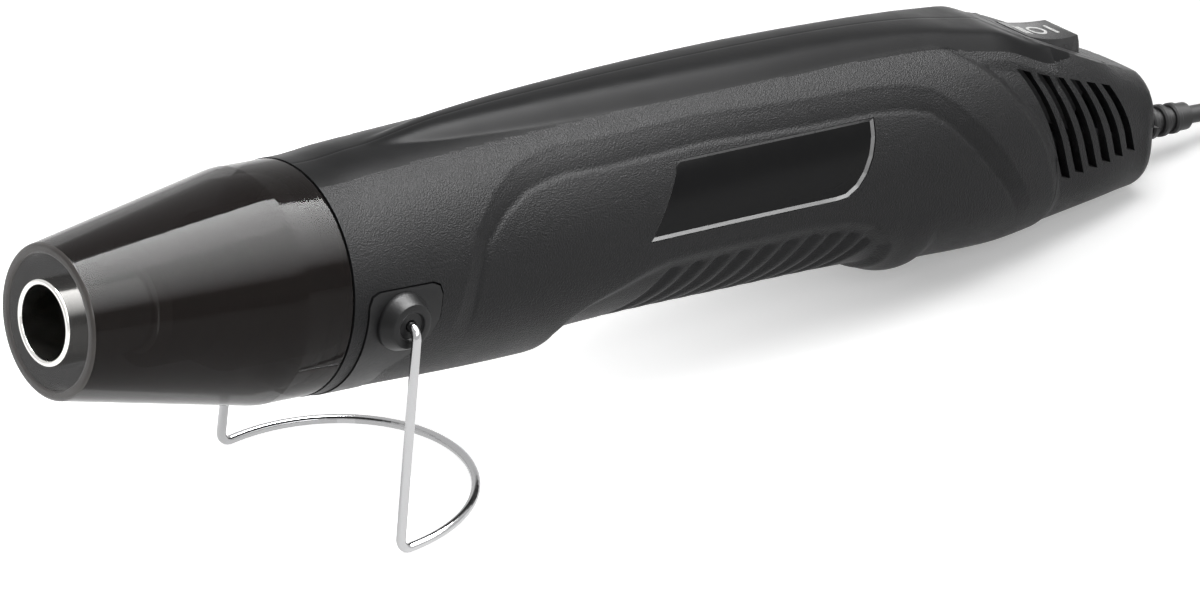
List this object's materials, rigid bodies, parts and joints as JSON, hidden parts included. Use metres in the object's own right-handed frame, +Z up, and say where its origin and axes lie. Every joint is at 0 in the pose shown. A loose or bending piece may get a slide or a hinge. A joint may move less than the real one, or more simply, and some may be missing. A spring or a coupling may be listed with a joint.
{
  "type": "embossing heat tool",
  "caption": "Slim mains hot air tool with a smoked nose guard, steel nozzle, side vents, rocker switch and a folding wire stand, resting nose up.",
  "frame": {"origin": "on the table under the middle of the tool, cord left out: centre of the bounding box, z = 0 at the stand and the rear keel", "axes": "+X runs towards the rear of the tool, +Z up; the tool stands nose up, its own axis tipped 9.66 degrees"},
  "size_m": [0.4333, 0.0512, 0.0624],
  "materials": {
    "housing_black": "fine spark texture",
    "label_black": "gloss",
    "smoked_guard": "glossy smoked polycarbonate",
    "nozzle_steel": "bright rolled lip",
    "wire_steel": "bright drawn wire",
    "ceramic_tan": "matt mica and ceramic",
    "heater_wire": "dull resistance wire",
    "motor_steel": "zinc plated",
    "copper": "wound copper",
    "fan_white": "moulded",
    "inner_grey": "heat resistant moulding",
    "board_green": "solder mask",
    "component_black": "epoxy",
    "capacitor_yellow": "epoxy",
    "lead_red": "wire insulation",
    "switch_grey": "fine matt",
    "rocker_black": "satin gloss with white marks",
    "terminal_brass": "tinned brass",
    "bracket_black": "satin",
    "cord_black": "satin",
    "screw_steel": "plated",
    "pin_metal": "nickel plated"
  },
  "bodies": {
    "tool": {"housing_left": "housing_black", "housing_right": "housing_black", "label_plate": "label_black", "nose_guard": "smoked_guard", "nozzle_tube": "nozzle_steel", "tube_collar": "ceramic_tan", "mica_sleeve": "ceramic_tan", "heater_former": "ceramic_tan", "heater_discs": "ceramic_tan", "heater_coil": "heater_wire", "thermal_fuse": "motor_steel", "motor_can": "motor_steel", "motor_end_cap": "component_black", "motor_bushes": "terminal_brass", "motor_magnets": "inner_grey", "motor_mount": "inner_grey", "circuit_board": "board_green", "rectifier_diodes": "component_black", "capacitor": "capacitor_yellow", "lead_wires": "lead_red", "switch_body": "switch_grey", "switch_terminals": "terminal_brass", "strain_relief": "cord_black", "cord_sheath": "cord_black", "cord_clamp": "inner_grey", "clamp_screws": "screw_steel", "housing_screws": "screw_steel", "stand_bracket": "bracket_black", "power_cord": "cord_black", "cord_coil": "cord_black", "cord_tail": "cord_black", "plug_boot": "cord_black", "plug_body": "component_black", "plug_pins": "pin_metal"},
    "rotor": {"fan": "fan_white", "motor_shaft": "motor_steel", "motor_armature": "copper", "commutator": "copper"},
    "rocker": {"switch_rocker": "rocker_black"},
    "stand": {"stand_wire": "wire_steel"}
  },
  "joints": [
    {"name": "stand_swing", "type": "hinge", "parent": "tool", "child": "stand", "pos_m": [-0.06618, 0, 0.03826], "axis": [0, 1, 0], "range_deg": [-28, 100]},
    {"name": "switch_rock", "type": "hinge", "parent": "tool", "child": "rocker", "pos_m": [0.08569, 0, 0.02986], "axis": [0, 1, 0], "range_deg": [0, 28]},
    {"name": "fan_spin", "type": "hinge", "parent": "tool", "child": "rotor", "pos_m": [-0.0478, 0, 0.03716], "axis": [0.9858, 0, -0.1677], "continuous": true}
  ]
}
